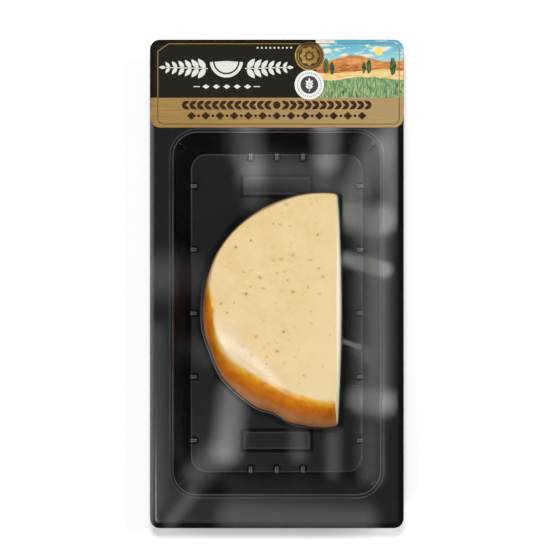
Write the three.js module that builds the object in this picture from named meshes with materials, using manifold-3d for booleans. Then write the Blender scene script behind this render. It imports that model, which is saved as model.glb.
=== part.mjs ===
// A half round of smoked provolone with oregano, vacuum skin-packed on a black thermoformed tray under
// a printed header label. The pack lies on its back, the way it lies in a chiller.
//
// Millimetres, +Z up. The origin is under the middle of the pack's outline, on the plane that the tray
// stands on. +Y points to the header with the label, and +X from the rind to the knife cut.
//
// The tray, the film and the label are layers of one formed surface: each is the space between two
// offsets of that surface, so they nest as the real sheet, skin and sticker do.
import * as THREE from "three";
import { mergeVertices } from "three/addons/utils/BufferGeometryUtils.js";
import Module from "manifold-3d";

const wasm = await Module();
wasm.setup();

// ---- Driving dimensions -------------------------------------------------------------------------

const PACK = { width: 127, length: 244.5, corner: 5 };
const SHEET = 0.8; // tray wall
const SKIN = 0.3; // film
const STICKER = 0.35; // label
const CLEARANCE = 0.3; // between layers that touch

// The recess that the cheese lies in. It sits low in the pack, because the header takes the label.
const RECESS = { width: 105.5, length: 183, corner: 13, centreY: -14.8, depth: 16 };
const FLOOR = { width: 85.5, length: 159.2, corner: 7.5 };
const FLOOR_FILLET = 1.6;
const LEDGE = { width: 1, drop: 0.9, riser: 0.35 }; // the narrow step round the top of the recess
const LIP = { width: 3.6, drop: 1.3 }; // the turned-down edge of the flange

const PANEL = { width: 33.5, length: 8.7, corner: 0.8, height: 1.2, slope: 1.7, fromCentre: 64.2 };

// Stiffening ribs bridge the corner between floor and wall, evenly spaced along each side.
const RIB = { radius: 1.15, onFloor: 2.2, upWall: 2.4 };
const SIDE_RIBS = { count: 5, pitch: 31.8 };
const END_RIBS = { count: 3, pitch: 13.2 };

// The lugs in the corners start and end at these shares of the way down the wall.
const CORNER_LUG = { radius: 1.4, start: 0.16, end: 0.38, angle: THREE.MathUtils.degToRad(40) };

// The cheese: a slab across a ball-shaped provolone, cut a little past its middle. The ball bulges
// past the slab's top face, most on the side away from the header.
const CHEESE = { thickness: 28, girthHeight: 9, footInset: 2.2, cutBow: 2 };
const TOP_FACE = { x: 19.5, y: -5.8, radius: 50.7, cutX: 29.2, corner: 2, uneven: 2 };
const GIRTH = { x: 22, y: -13.25, radius: 58.6, cutX: 30, corner: 2.2, uneven: 0.3 };
const DENT = { angle: THREE.MathUtils.degToRad(244), depth: 2.2, spread: THREE.MathUtils.degToRad(6) };
const SHOULDER = { across: 1.25, down: 1.48 }; // exponents of the curve from the top face to the girth

const FLECKS = { spiral: 92, radius: 0.75, proud: 0.2, margin: 2.5, seed: 7 };

// The film hangs off the girth and meets the floor in a short hollow flare. The flare's last ring lies
// under the floor's film, so that the two cross.
const FOOT_FLARE = [
  { height: 4.6, out: 0 },
  { height: 2.2, out: 1 },
  { height: 0.8, out: 2.6 },
  { height: -0.4, out: 5 },
];
const SKIN_TO_CHEESE = 0.6;

const LABEL = { length: 43.9, corner: 5, inset: 0.2 };

// Steps round each outline.
const STEPS = {
  plateCorner: 6,
  bend: 3,
  barEnd: 2,
  barRound: 8,
  rind: 46,
  cut: 8,
  cheeseCorner: 3,
  shoulder: 6,
};

// Heights of the main levels.
const FLOOR_TOP = SHEET;
const FLANGE_TOP = FLOOR_TOP + RECESS.depth;
const WALL_SLOPE = (2 * RECESS.depth) / (RECESS.width - FLOOR.width);
const CHEESE_BASE = FLOOR_TOP + CLEARANCE;
const CHEESE_TOP = CHEESE_BASE + CHEESE.thickness;
const GIRTH_LEVEL = CHEESE_BASE + CHEESE.girthHeight;

// The helper bodies run past the pack's outline, below it and above it.
const BEYOND = 3;
const BELOW = -4;
const ABOVE = 60;

// ---- Solids -------------------------------------------------------------------------------------

// A closed solid through rings of [x, y, z] points, from the ring round its top outwards and down.
function loft(rings) {
  const steps = rings[0].length;
  const points = rings.flat();
  const triangles = [];
  for (let ring = 0; ring + 1 < rings.length; ring++) {
    for (let step = 0; step < steps; step++) {
      const next = (step + 1) % steps;
      const [a, b] = [ring * steps + step, ring * steps + next];
      const [c, d] = [a + steps, b + steps];
      triangles.push(a, c, d, a, d, b);
    }
  }
  const cap = (ring, facesUp) => {
    points.push([0, 1, 2].map((axis) => rings[ring].reduce((sum, p) => sum + p[axis] / steps, 0)));
    for (let step = 0; step < steps; step++) {
      const [a, b] = [ring * steps + step, ring * steps + ((step + 1) % steps)];
      triangles.push(points.length - 1, ...(facesUp ? [a, b] : [b, a]));
    }
  };
  cap(0, true);
  cap(rings.length - 1, false);
  const geometry = new THREE.BufferGeometry();
  geometry.setAttribute("position", new THREE.Float32BufferAttribute(points.flat(), 3));
  geometry.setIndex(triangles);
  return solidOf(geometry);
}

function solidOf(geometry) {
  const bare = new THREE.BufferGeometry();
  bare.setAttribute("position", geometry.getAttribute("position"));
  bare.setIndex(geometry.getIndex());
  const merged = mergeVertices(bare, 1e-4);
  return new wasm.Manifold(
    new wasm.Mesh({
      numProp: 3,
      vertProperties: merged.attributes.position.array,
      triVerts: new Uint32Array(merged.index.array),
    }),
  );
}

function geometryOf(solid) {
  const mesh = solid.getMesh();
  const geometry = new THREE.BufferGeometry();
  geometry.setAttribute("position", new THREE.Float32BufferAttribute(mesh.vertProperties, mesh.numProp));
  geometry.setIndex(new THREE.BufferAttribute(mesh.triVerts, 1));
  return geometry;
}

const joined = (solids) => solids.reduce((whole, solid) => whole.add(solid));

// A repeatable number from 0 to 1 for each index and channel.
function scatter(index, channel) {
  const wave = Math.sin((index + 1) * 12.9898 + channel * 78.233 + FLECKS.seed) * 43758.5453;
  return wave - Math.floor(wave);
}

// ---- The formed surface -------------------------------------------------------------------------

// A rounded rectangle at one level, anticlockwise from above.
function plate({ halfWidth, halfLength, corner, centreY, level }) {
  const [x, y] = [halfWidth - corner, halfLength - corner];
  return [[x, y], [-x, y], [-x, -y], [x, -y]].flatMap(([cornerX, cornerY], quarter) => {
    const start = (quarter * Math.PI) / 2;
    const end = start + Math.PI / 2;
    const arc = new THREE.EllipseCurve(cornerX, centreY + cornerY, corner, corner, start, end);
    return arc.getPoints(STEPS.plateCorner).map((p) => [p.x, p.y, level]);
  });
}

// A bend in the sheet's section, as steps out and up between two points.
function bend(from, control, to) {
  const curve = new THREE.QuadraticBezierCurve(
    new THREE.Vector2(...from),
    new THREE.Vector2(...control),
    new THREE.Vector2(...to),
  );
  return curve.getPoints(STEPS.bend);
}

// The section of the formed sheet, from the floor outwards: rounded rectangles at their levels.
function section() {
  const ringsAt = ({ width, length, corner }, centreY, level) => (out, rise) => ({
    halfWidth: width / 2 + out,
    halfLength: length / 2 + out,
    corner: corner + Math.max(out, -corner / 2),
    centreY,
    level: level + rise,
  });
  const floor = ringsAt(FLOOR, RECESS.centreY, FLOOR_TOP);
  const rim = ringsAt(RECESS, RECESS.centreY, FLANGE_TOP);
  const edge = ringsAt(PACK, 0, FLANGE_TOP);
  const up = new THREE.Vector2(1, WALL_SLOPE).setLength(FLOOR_FILLET);
  return [
    ...bend([-FLOOR_FILLET, 0], [0, 0], [up.x, up.y]).map((p) => floor(p.x, p.y)),
    rim(-LEDGE.width, -LEDGE.drop),
    rim(-LEDGE.riser, -LEDGE.drop),
    rim(0, 0),
    ...bend([-LIP.width, 0], [-LIP.width / 2, 0], [0, -LIP.drop]).map((p) => edge(p.x, p.y)),
    edge(BEYOND, -2 * LIP.drop),
  ];
}

// Moves a section by a distance square to itself, upwards where it is level, as it is inside its
// first ring.
function offsetSection(profile, distance) {
  const normals = profile.slice(1).map((next, index) => {
    const here = profile[index];
    return new THREE.Vector2(here.level - next.level, next.halfWidth - here.halfWidth).normalize();
  });
  return profile.map((at, index) => {
    const before = normals[index - 1] ?? new THREE.Vector2(0, 1);
    const after = normals[index] ?? before;
    const mitre = before.clone().add(after).normalize();
    const reach = distance / mitre.dot(after);
    return {
      halfWidth: at.halfWidth + mitre.x * reach,
      halfLength: at.halfLength + mitre.x * reach,
      corner: at.corner + mitre.x * reach,
      centreY: at.centreY,
      level: at.level + mitre.y * reach,
    };
  });
}

// All that lies under the plain formed surface, moved by a distance.
function underSheet(distance) {
  const profile = offsetSection(section(), distance);
  const outside = profile.at(-1);
  return loft([...profile, { ...outside, level: BELOW }].map(plate));
}

// A low pad in the floor with sloping sides, one near each end of the recess. The sides run on down
// through the floor.
function panels(distance) {
  const spread = distance * Math.tan(Math.atan2(PANEL.height, PANEL.slope) / 2);
  return [1, -1].map((end) => {
    const ring = (out, level) =>
      plate({
        halfWidth: PANEL.width / 2 + out,
        halfLength: PANEL.length / 2 + out,
        corner: PANEL.corner + Math.max(out, -PANEL.corner / 2),
        centreY: RECESS.centreY + end * PANEL.fromCentre,
        level,
      });
    return loft([
      ring(spread, FLOOR_TOP + PANEL.height + distance),
      ring(spread + 2 * PANEL.slope, FLOOR_TOP - PANEL.height + distance),
      ring(spread + 2 * PANEL.slope, BELOW),
    ]);
  });
}

// The middle of each rib in plan, and the way it points from the floor to its wall.
function ribPlaces() {
  const along = ({ count, pitch }) =>
    Array.from({ length: count }, (_, index) => (index - (count - 1) / 2) * pitch);
  const sides = [1, -1].flatMap((side) =>
    along(SIDE_RIBS).map((y) => ({ x: (side * FLOOR.width) / 2, y: RECESS.centreY + y, way: [side, 0] })),
  );
  const ends = [1, -1].flatMap((end) =>
    along(END_RIBS).map((x) => ({ x, y: RECESS.centreY + (end * FLOOR.length) / 2, way: [0, end] })),
  );
  return [...sides, ...ends];
}

// A round bar with domed ends, between two points.
function bar(from, to, radius) {
  const geometry = new THREE.CapsuleGeometry(radius, from.distanceTo(to), STEPS.barEnd, STEPS.barRound);
  const axis = to.clone().sub(from).normalize();
  const turn = new THREE.Quaternion().setFromUnitVectors(new THREE.Vector3(0, 1, 0), axis);
  const middle = from.clone().lerp(to, 0.5);
  geometry.applyMatrix4(new THREE.Matrix4().compose(middle, turn, new THREE.Vector3(1, 1, 1)));
  return solidOf(geometry);
}

function ribs(distance) {
  return ribPlaces().map(({ x, y, way }) => {
    const foot = new THREE.Vector3(x - way[0] * RIB.onFloor, y - way[1] * RIB.onFloor, FLOOR_TOP);
    const head = new THREE.Vector3(x + way[0] * RIB.upWall, y + way[1] * RIB.upWall, FLOOR_TOP);
    head.z += RIB.upWall * WALL_SLOPE;
    return bar(foot, head, RIB.radius + distance);
  });
}

// A short lug high on the wall in each corner keeps stacked empty trays from jamming.
function cornerLugs(distance) {
  const corner = ({ width, length, corner: radius }, level) =>
    new THREE.Vector3(
      width / 2 + radius * (Math.cos(CORNER_LUG.angle) - 1),
      length / 2 + radius * (Math.sin(CORNER_LUG.angle) - 1),
      level,
    );
  const [rim, foot] = [corner(RECESS, FLANGE_TOP), corner(FLOOR, FLOOR_TOP)];
  return [[1, 1], [-1, 1], [-1, -1], [1, -1]].map(([side, end]) => {
    const [start, stop] = [CORNER_LUG.start, CORNER_LUG.end].map((share) => {
      const at = rim.clone().lerp(foot, share);
      return new THREE.Vector3(side * at.x, RECESS.centreY + end * at.y, at.z);
    });
    return bar(start, stop, CORNER_LUG.radius + distance);
  });
}

// All that lies under the formed surface with its details, moved by a distance. Ribs and lugs are too
// narrow to show on the underside.
function underTray(distance) {
  const whole = joined([underSheet(distance), ...panels(distance)]);
  return distance < 0 ? whole : joined([whole, ...ribs(distance), ...cornerLugs(distance)]);
}

// An upright block with a rounded rectangle for its plan.
const upright = (outline) =>
  loft([plate({ ...outline, level: ABOVE }), plate({ ...outline, level: 2 * BELOW })]);

const packOutline = () =>
  upright({ halfWidth: PACK.width / 2, halfLength: PACK.length / 2, corner: PACK.corner, centreY: 0 });

// ---- The cheese ---------------------------------------------------------------------------------

// How far the rind stands off a true circle at an angle: slow waves, and one dent near the girth.
function unevenness(angle, face, dented) {
  const wave = face.uneven * Math.cos(3 * angle - 3 * THREE.MathUtils.degToRad(165));
  const dent = Math.exp(-(((angle - DENT.angle) / DENT.spread) ** 2));
  return wave - (dented ? DENT.depth * dent : 0);
}

// The half round's outline in plan, grown by a distance: rind, lower corner, knife cut, upper corner.
function halfRound(face, { grow = 0, bow = 0, dented = false } = {}) {
  const radius = face.radius + grow;
  const corner = Math.max(face.corner + grow, 0.4);
  const cornerX = face.cutX + grow - corner;
  const cornerRise = Math.sqrt((radius - corner) ** 2 - (cornerX - face.x) ** 2);
  const turn = Math.atan2(cornerRise, cornerX - face.x);
  const outline = [];
  for (let step = 0; step < STEPS.rind; step++) {
    const share = step / STEPS.rind;
    const angle = turn + share * 2 * (Math.PI - turn);
    const fade = Math.min(1, 6 * Math.min(share, 1 - share));
    const reach = radius + fade * unevenness(angle, face, dented);
    outline.push([face.x + reach * Math.cos(angle), face.y + reach * Math.sin(angle)]);
  }
  const round = (y, start, end) =>
    new THREE.EllipseCurve(cornerX, y, corner, corner, start, end)
      .getPoints(STEPS.cheeseCorner)
      .slice(0, -1)
      .map((p) => [p.x, p.y]);
  outline.push(...round(face.y - cornerRise, -turn, 0));
  for (let step = 0; step < STEPS.cut; step++) {
    const share = (2 * step) / STEPS.cut - 1;
    outline.push([face.cutX + grow + bow * (1 - share * share), face.y + share * cornerRise]);
  }
  outline.push(...round(face.y + cornerRise, 0, turn));
  return outline;
}

const atLevel = (outline, level) => outline.map(([x, y]) => [x, y, level]);

// Rings from the flat of the top face over the shoulder to the girth, moved out by a distance.
function shoulderRings(distance) {
  const rings = [];
  for (let step = 0; step <= STEPS.shoulder; step++) {
    const turn = (step / STEPS.shoulder) * (Math.PI / 2);
    const across = Math.sin(turn) ** SHOULDER.across;
    const height = Math.max(Math.cos(turn), 0) ** SHOULDER.down;
    const grow = distance * Math.sin(turn);
    const top = halfRound(TOP_FACE, { grow });
    const girth = halfRound(GIRTH, { grow, bow: CHEESE.cutBow, dented: true });
    const outline = top.map(([x, y], index) => [
      THREE.MathUtils.lerp(x, girth[index][0], across),
      THREE.MathUtils.lerp(y, girth[index][1], across),
    ]);
    const level = THREE.MathUtils.lerp(GIRTH_LEVEL, CHEESE_TOP, height) + distance * Math.cos(turn);
    rings.push(atLevel(outline, level));
  }
  return rings;
}

const girthOutline = (grow) => halfRound(GIRTH, { grow, bow: CHEESE.cutBow, dented: true });

// The bare slab stands on a slightly smaller foot.
function slab() {
  return loft([
    ...shoulderRings(0),
    atLevel(girthOutline(-CHEESE.footInset * 0.3), CHEESE_BASE + 2.8),
    atLevel(girthOutline(-CHEESE.footInset), CHEESE_BASE),
  ]);
}

// All that lies under a skin drawn over the slab, moved out by a distance.
function underSkin(distance) {
  const flare = FOOT_FLARE.map(({ height, out }) =>
    atLevel(girthOutline(out + distance), FLOOR_TOP + height + distance - SKIN_TO_CHEESE + CLEARANCE),
  );
  const foot = atLevel(girthOutline(FOOT_FLARE.at(-1).out + distance), BELOW);
  return loft([...shoulderRings(distance), ...flare, foot]);
}

// Oregano in the top face, spaced by the golden angle and jittered, each fleck a low chip.
function flecks() {
  const chips = [];
  for (let index = 0; index < FLECKS.spiral; index++) {
    const angle = index * Math.PI * (3 - Math.sqrt(5)) + (scatter(index, 0) - 0.5);
    const reach = TOP_FACE.radius * Math.sqrt((index + scatter(index, 1)) / FLECKS.spiral);
    const [x, y] = [TOP_FACE.x + reach * Math.cos(angle), TOP_FACE.y + reach * Math.sin(angle)];
    if (x > TOP_FACE.cutX - FLECKS.margin || reach > TOP_FACE.radius - FLECKS.margin) {
      continue;
    }
    const radius = FLECKS.radius * THREE.MathUtils.lerp(0.5, 1.2, scatter(index, 2));
    const chip = new THREE.CylinderGeometry(radius * 0.55, radius, 4 * FLECKS.proud, 6);
    chip.rotateX(Math.PI / 2);
    chip.scale(1, THREE.MathUtils.lerp(0.45, 0.85, scatter(index, 3)), 1);
    chip.rotateZ(scatter(index, 4) * Math.PI);
    chip.translate(x, y, CHEESE_TOP - FLECKS.proud);
    chips.push(solidOf(chip));
  }
  return chips;
}

// ---- The pieces ---------------------------------------------------------------------------------

const makeTray = () => underTray(0).subtract(underTray(-SHEET)).intersect(packOutline());

const makeCheese = () => joined([slab(), ...flecks()]);

function makeFilm() {
  const inside = underTray(CLEARANCE).add(underSkin(SKIN_TO_CHEESE));
  const outside = underTray(CLEARANCE + SKIN).add(underSkin(SKIN_TO_CHEESE + SKIN));
  return outside.subtract(inside).intersect(packOutline());
}

// The label is stuck on the film over the header, and its edges follow the pack's lip.
function makeLabel() {
  const lowest = 2 * CLEARANCE + SKIN;
  const outline = upright({
    halfWidth: PACK.width / 2 - LABEL.inset,
    halfLength: LABEL.length / 2,
    corner: LABEL.corner,
    centreY: PACK.length / 2 - LABEL.inset - LABEL.length / 2,
  });
  return underSheet(lowest + STICKER).subtract(underSheet(lowest)).intersect(outline);
}

const finish = (color, roughness, more = {}) =>
  new THREE.MeshStandardMaterial({ color, roughness, metalness: 0, ...more });

const pieces = {
  tray: [makeTray(), finish(0x18181a, 0.35)],
  cheese: [makeCheese(), finish(0xeacf9d, 0.45)],
  film: [makeFilm(), finish(0xf4f6f8, 0.08, { transparent: true, opacity: 0.15 })],
  label: [makeLabel(), finish(0xa3864f, 0.3)],
};

const pack = new THREE.Group();
pack.name = "provolone_skin_pack";
for (const [name, [solid, material]] of Object.entries(pieces)) {
  const mesh = new THREE.Mesh(geometryOf(solid), material);
  mesh.name = name;
  pack.add(mesh);
}

export default pack;
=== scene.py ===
"""A half round of smoked provolone with oregano in a vacuum skin pack: black tray, clear film, header label.

Metres, +Z up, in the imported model's own frame. One section follows another as the pack is put together.
"""

import math
import random

import bmesh
import bpy
import numpy as np
from mathutils import Matrix, Vector, noise
from mathutils.bvhtree import BVHTree


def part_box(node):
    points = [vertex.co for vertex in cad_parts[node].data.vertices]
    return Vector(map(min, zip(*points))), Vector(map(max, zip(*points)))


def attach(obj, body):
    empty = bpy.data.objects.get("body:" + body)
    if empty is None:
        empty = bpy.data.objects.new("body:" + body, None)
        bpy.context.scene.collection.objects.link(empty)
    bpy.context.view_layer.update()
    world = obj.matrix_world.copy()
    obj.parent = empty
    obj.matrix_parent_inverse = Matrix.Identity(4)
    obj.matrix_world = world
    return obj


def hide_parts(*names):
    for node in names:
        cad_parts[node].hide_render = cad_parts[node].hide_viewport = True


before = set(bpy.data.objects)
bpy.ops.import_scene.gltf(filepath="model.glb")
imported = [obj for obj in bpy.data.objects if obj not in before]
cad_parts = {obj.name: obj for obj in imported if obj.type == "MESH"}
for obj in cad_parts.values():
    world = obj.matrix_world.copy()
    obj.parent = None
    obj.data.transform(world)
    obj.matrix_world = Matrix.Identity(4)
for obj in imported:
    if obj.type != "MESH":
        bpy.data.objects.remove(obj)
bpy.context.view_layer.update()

# ---- Tray ----------------------------------------------------------------------------------------
# One sheet of black plastic, drawn hot over a mould by vacuum and punched out with round corners.
# Its flange turns down at the edge, a ledge runs round the recess, and ribs brace the floor.

MM = 0.001
TRAY_LOW, TRAY_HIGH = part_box("tray")
PACK_WIDTH, PACK_LENGTH, FLANGE_TOP = TRAY_HIGH.x - TRAY_LOW.x, TRAY_HIGH.y - TRAY_LOW.y, TRAY_HIGH.z
SHEET = 0.8 * MM
FLOOR_TOP = TRAY_LOW.z + SHEET

# Outlines in plan: width, length, corner radius and middle.
PACK = (PACK_WIDTH, PACK_LENGTH, 5 * MM, 0)
RECESS = (105.5 * MM, 183 * MM, 13 * MM, -14.8 * MM)
FLOOR = (86.3 * MM, 160.2 * MM, 7.8 * MM, -14.8 * MM)
RECESS_MIDDLE = RECESS[3]

FLOOR_FILLET = 0.7 * MM
LEDGE_WIDTH, LEDGE_DROP, LEDGE_RISER = 1 * MM, 0.9 * MM, 0.35 * MM
LIP_WIDTH, LIP_DROP = 3.6 * MM, 1.3 * MM
WALL_SLOPE = (FLANGE_TOP - FLOOR_TOP) / ((RECESS[0] - FLOOR[0]) / 2)
RIB_ON_FLOOR, RIB_INTO_WALL, RIB_TOP_WIDTH = 2.7 * MM, 5 * MM, 1.5 * MM
RIB_TOP_CORNER = RIB_TOP_WIDTH / 2.1
SIDE_RIB_PITCH, END_RIB_PITCH = 32.1 * MM, 13.2 * MM
LUG_RADIUS, LUG_START, LUG_END, LUG_ANGLE = 1.4 * MM, 0.16, 0.38, math.radians(40)
QUARTERS = ((1, 1), (-1, 1), (-1, -1), (1, -1))
PAD_WIDTH, PAD_LENGTH, PAD_HEIGHT, PAD_SLOPE = 33.5 * MM, 8.7 * MM, 1.2 * MM, 1.7 * MM
PAD_FROM_MIDDLE = 64.2 * MM
CORNER_STEPS, BEND_STEPS = 14, 5
WELD = 0.01 * MM
BELOW, BEYOND_PACK = -4 * MM, 3 * MM

# A rib's section from the edge of its top outwards: how far out, and how high over the floor.
RIB_SECTION = [
    (0, 1.2 * MM),
    (0.25 * MM, 1.13 * MM),
    (0.65 * MM, 0.7 * MM),
    (1.1 * MM, 0),
    (1.9 * MM, -1.6 * MM),
]


def deselect():
    bpy.ops.object.select_all(action="DESELECT")


def only(piece):
    """Selects one piece and makes it active."""
    deselect()
    piece.select_set(True)
    bpy.context.view_layer.objects.active = piece
    return piece


def modify(piece, kind, **settings):
    """Adds a modifier to a piece, sets it and applies it."""
    only(piece)
    bpy.ops.object.modifier_add(type=kind)
    modifier = piece.modifiers[-1]
    for setting, value in settings.items():
        setattr(modifier, setting, value)
    bpy.ops.object.modifier_apply(modifier=modifier.name)


def named(piece, name):
    piece.name = piece.data.name = name
    return piece


def linear(*levels):
    """A colour from its three display levels, 0 to 255, as a shader takes it."""
    shares = [level / 255 for level in levels]
    return (*[share / 12.92 if share < 0.04045 else ((share + 0.055) / 1.055) ** 2.4 for share in shares], 1)


class Value:
    """A shader node's output. Expressions on values add Math nodes."""

    def __init__(self, finish, socket):
        self.finish, self.socket = finish, socket

    def maths(self, operation, *others):
        return self.finish.node("Math", {"operation": operation}, self, *others)

    def output(self, name):
        return Value(self.finish, self.socket.node.outputs[name])

    def between(self, low, high):
        """0 below low, 1 above high, and a smooth step from one to the other."""
        smooth = {"interpolation_type": "SMOOTHSTEP", "clamp": True}
        return self.finish.node("MapRange", smooth, self, low, high, 0, 1)

    def above(self, other):
        return self.maths("MAXIMUM", other)

    def below(self, other):
        return self.maths("MINIMUM", other)

    def sine(self):
        return self.maths("SINE")

    def root(self):
        return self.maths("SQRT")

    def fading(self, reach, strength):
        """A strength where this is 0 that fades smoothly to nothing at a reach."""
        smooth = {"interpolation_type": "SMOOTHSTEP", "clamp": True}
        return self.finish.node("MapRange", smooth, self, 0, reach, strength, 0)

    def __add__(self, other):
        return self.maths("ADD", other)

    def __sub__(self, other):
        return self.maths("SUBTRACT", other)

    def __rsub__(self, other):
        return self.maths("MULTIPLY_ADD", -1, other)

    def __mul__(self, other):
        return self.maths("MULTIPLY", other)

    def __truediv__(self, other):
        return self.maths("DIVIDE", other)

    def __pow__(self, other):
        return self.maths("MULTIPLY", self) if other == 2 else self.maths("POWER", other)

    def __neg__(self):
        return self.maths("MULTIPLY", -1)

    def __abs__(self):
        return self.maths("ABSOLUTE")

    __radd__, __rmul__ = __add__, __mul__


class Finish:
    """A material whose pattern is worked out from a piece's own coordinates."""

    def __init__(self, name, **constants):
        self.material = bpy.data.materials.new(name)
        self.material.use_nodes = True
        self.tree = self.material.node_tree
        self.shader = self.tree.nodes["Principled BSDF"]
        for socket, value in constants.items():
            self.shader.inputs[socket.replace("_", " ")].default_value = value
        self.place = self.node("TexCoord", {}).output("Object")
        self.x, self.y, self.z = (self.node("SeparateXYZ", {}, self.place).output(axis) for axis in "XYZ")

    def node(self, kind, settings, *values, **named):
        """Any node: its settings first, then the values or links of its sockets, in order or by name."""
        made = self.tree.nodes.new("ShaderNode" + kind)
        stops = settings.pop("stops", [])
        for setting, value in settings.items():
            setattr(made, setting, value)
        for index, (position, colour) in enumerate(stops):
            elements = made.color_ramp.elements
            stop = elements[index] if index < 2 else elements.new(position)
            stop.position, stop.color = position, colour
        open_sockets = [socket for socket in made.inputs if socket.enabled]
        by_name = {socket.name.lower(): socket for socket in reversed(open_sockets)}
        given = [*zip(open_sockets, values), *((by_name[name], value) for name, value in named.items())]
        for socket, value in given:
            if isinstance(value, Value):
                self.tree.links.new(value.socket, socket)
            elif value is not None:
                socket.default_value = value
        outputs = [socket for socket in made.outputs if socket.enabled]
        return Value(self, outputs[0]) if outputs else None

    def stretched(self, x, y, z):
        """The piece's coordinates, multiplied along each axis."""
        return self.vector("MULTIPLY", self.place, (x, y, z))

    def vector(self, operation, *values, **named):
        return self.node("VectorMath", {"operation": operation}, *values, **named)

    def noise(self, size, detail=2, seed=0, place=None):
        """Soft noise from 0 to 1 with lumps of one size."""
        at = self.vector("ADD", place or self.place, (seed, seed, -seed))
        return self.node("TexNoise", {}, at, scale=1 / size, detail=detail)

    def mix(self, share, first, second):
        """One colour turning into another as a share goes from 0 to 1."""
        return self.node("Mix", {"data_type": "RGBA"}, share, first, second)

    def past(self, left, low, right, high, corner):
        """How far a place in plan lies outside a rounded rectangle, or below 0 inside it, all in metres."""
        past_x = abs(self.x - (left + right) / 2) - ((right - left) / 2 - corner)
        past_y = abs(self.y - (low + high) / 2) - ((high - low) / 2 - corner)
        return (past_x.above(0) ** 2 + past_y.above(0) ** 2).root() + past_x.above(past_y).below(0) - corner

    def bump(self, height, depth, under=None):
        """Relief, as deep in metres where height is 1, over any relief under it."""
        return self.node("Bump", {}, height=height, distance=depth, strength=1, normal=under)

    def feed(self, **links):
        for socket, value in links.items():
            self.tree.links.new(value.socket, self.shader.inputs[socket.replace("_", " ")])

    def show(self, shader):
        """Shows another shader in place of the plain one."""
        self.tree.nodes.remove(self.shader)
        self.tree.links.new(shader.socket, self.tree.nodes["Material Output"].inputs["Surface"])

    def on(self, piece):
        piece.data.materials.clear()
        piece.data.materials.append(self.material)


def at_angle(x, y, reach, angle):
    """The place in plan that lies from another at a distance and an angle."""
    return x + reach * math.cos(angle), y + reach * math.sin(angle)


def rounded(outline, level):
    """A rounded rectangle at one level, anticlockwise from above."""
    width, length, corner, middle = outline
    points = []
    for quarter, (side, end) in enumerate(QUARTERS):
        x, y = side * (width / 2 - corner), middle + end * (length / 2 - corner)
        for step in range(CORNER_STEPS + 1):
            turn = (quarter + step / CORNER_STEPS) * math.pi / 2
            points.append((*at_angle(x, y, corner, turn), level))
    return points


def section():
    """The formed sheet's section from the floor outwards, as outlines with their levels."""

    def ring(outline, out, rise, level):
        width, length, corner, middle = outline
        corner += max(out, -corner / 2)
        return [(width + 2 * out, length + 2 * out, corner, middle), level + rise]

    def bend(outline, level, start, control, stop):
        steps = [step / BEND_STEPS for step in range(BEND_STEPS + 1)]
        weights = [((1 - t) ** 2, 2 * t * (1 - t), t * t) for t in steps]
        places = [[a * start[i] + b * control[i] + c * stop[i] for i in (0, 1)] for a, b, c in weights]
        return [ring(outline, out, rise, level) for out, rise in places]

    up = Vector((1, WALL_SLOPE)).normalized() * FLOOR_FILLET
    return [
        *bend(FLOOR, FLOOR_TOP, (-FLOOR_FILLET, 0), (0, 0), up),
        ring(RECESS, -LEDGE_WIDTH, -LEDGE_DROP, FLANGE_TOP),
        ring(RECESS, -LEDGE_RISER, -LEDGE_DROP, FLANGE_TOP),
        ring(RECESS, 0, 0, FLANGE_TOP),
        *bend(PACK, FLANGE_TOP, (-LIP_WIDTH, 0), (-LIP_WIDTH / 2, 0), (0, -LIP_DROP)),
    ]


def moved(profile, distance):
    """A section moved square to itself, upwards where it is level."""
    steps = [(b[0][0] / 2 - a[0][0] / 2, b[1] - a[1]) for a, b in zip(profile, profile[1:])]
    squares = [Vector((-rise, out)).normalized() for out, rise in steps]
    shifted = []
    for index, ((width, length, corner, middle), level) in enumerate(profile):
        before = squares[index - 1] if index else Vector((0, 1))
        after = squares[index] if index < len(squares) else before
        mitre = (before + after).normalized()
        out, rise = mitre * (distance / mitre.dot(after))
        shifted.append([(width + 2 * out, length + 2 * out, corner + out, middle), level + rise])
    return shifted


def lofted(name, rings):
    """A closed body: a disc is extruded once for each ring, and each of its rings is laid on an outline."""
    deselect()
    bpy.ops.mesh.primitive_circle_add(vertices=len(rings[0]), fill_type="NGON")
    piece = named(bpy.context.object, name)
    bpy.ops.object.mode_set(mode="EDIT")
    bpy.ops.mesh.select_all(action="SELECT")
    for _ in rings[1:]:
        bpy.ops.mesh.extrude_region_move()
    bpy.ops.mesh.select_all(action="DESELECT")
    bpy.ops.mesh.select_non_manifold()
    bpy.ops.mesh.edge_face_add()
    bpy.ops.object.mode_set(mode="OBJECT")
    piece.data.vertices.foreach_set("co", np.array(rings, float).ravel())
    bpy.ops.object.mode_set(mode="EDIT")
    bpy.ops.mesh.select_all(action="SELECT")
    bpy.ops.mesh.normals_make_consistent(inside=False)
    bpy.ops.object.mode_set(mode="OBJECT")
    return piece


def mould(distance, beyond):
    """All that lies under the plain sheet moved by a distance, run out past the pack's outline."""
    rings = moved(section(), distance)
    (width, length, corner, middle), level = rings[-1]
    if beyond:
        out, drop = 2 * beyond, LIP_DROP * beyond / LIP_WIDTH
        rings.append([(width + out, length + out, corner + beyond, middle), level - drop])
    rings.append([rings[-1][0], BELOW])
    return lofted("mould", [rounded(outline, level) for outline, level in rings])


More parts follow.
